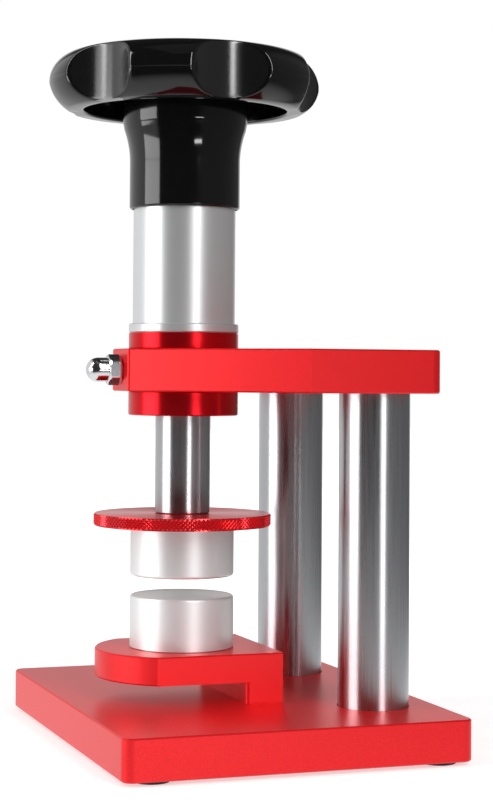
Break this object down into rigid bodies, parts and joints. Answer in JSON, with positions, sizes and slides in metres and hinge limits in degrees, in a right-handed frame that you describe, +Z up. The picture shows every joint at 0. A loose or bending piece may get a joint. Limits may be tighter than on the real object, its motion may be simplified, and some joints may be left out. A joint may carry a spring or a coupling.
{
  "type": "watch spindle press",
  "caption": "Bench press for watch work: a lobed handwheel screws a steel spindle down through an arm on two columns and presses a round die onto the die below.",
  "frame": {"origin": "middle of the overall box, on the surface that the feet stand on", "axes": "+Z up along the spindle, -X towards the arm's narrow end, +Y to the left of a user who faces +X"},
  "size_m": [0.1032, 0.125, 0.1977],
  "materials": {
    "red_anodised_plate": "bead-blasted, red anodised",
    "red_anodised_turned": "turned, red anodised",
    "turned_aluminium": "satin turned",
    "ground_steel": "ground and polished",
    "screw_steel": "bright zinc",
    "chromed_nut": "polished chrome",
    "bronze": "turned",
    "black_thermoset": "glossy moulded",
    "foot_rubber": "matte"
  },
  "bodies": {
    "press_frame": {"base_plate": "red_anodised_plate", "foot_front_left": "foot_rubber", "foot_front_right": "foot_rubber", "foot_back_left": "foot_rubber", "foot_back_right": "foot_rubber", "column_left": "ground_steel", "column_right": "ground_steel", "column_screw_base_left": "screw_steel", "column_screw_base_right": "screw_steel", "column_screw_arm_left": "screw_steel", "column_screw_arm_right": "screw_steel", "arm": "red_anodised_plate", "guide_bush": "red_anodised_turned", "ring_nut": "red_anodised_turned", "spindle_sleeve": "turned_aluminium", "spindle_nut": "bronze", "lock_screw": "screw_steel", "dome_nut": "chromed_nut", "table": "red_anodised_plate", "table_screw_left": "screw_steel", "table_screw_right": "screw_steel", "lower_die": "turned_aluminium"},
    "travelling_seat": {"thrust_ball": "screw_steel"},
    "spindle_group": {"spindle": "ground_steel", "handwheel": "black_thermoset", "wheel_insert": "screw_steel", "wheel_washer": "screw_steel", "wheel_screw": "screw_steel"},
    "die_group": {"die_holder": "red_anodised_turned", "retainer_left": "screw_steel", "retainer_right": "screw_steel", "upper_die": "turned_aluminium"}
  },
  "joints": [
    {"name": "spindle_travel", "type": "slide", "parent": "press_frame", "child": "travelling_seat", "axis": [0, 0, 1], "range_m": [-0.0053, 0.028]},
    {"name": "wheel_turn", "type": "hinge", "parent": "travelling_seat", "child": "spindle_group", "pos_m": [-0.0119, 0, 0.1], "axis": [0, 0, 1], "range_deg": [-477, 2520]},
    {"name": "die_swivel", "type": "hinge", "parent": "travelling_seat", "child": "die_group", "pos_m": [-0.0119, 0, 0.0575], "axis": [0, 0, 1], "continuous": true}
  ],
  "couplings": [
    {"joint": "spindle_travel", "follows": "wheel_turn", "m_per_rad": 0.0006366}
  ]
}
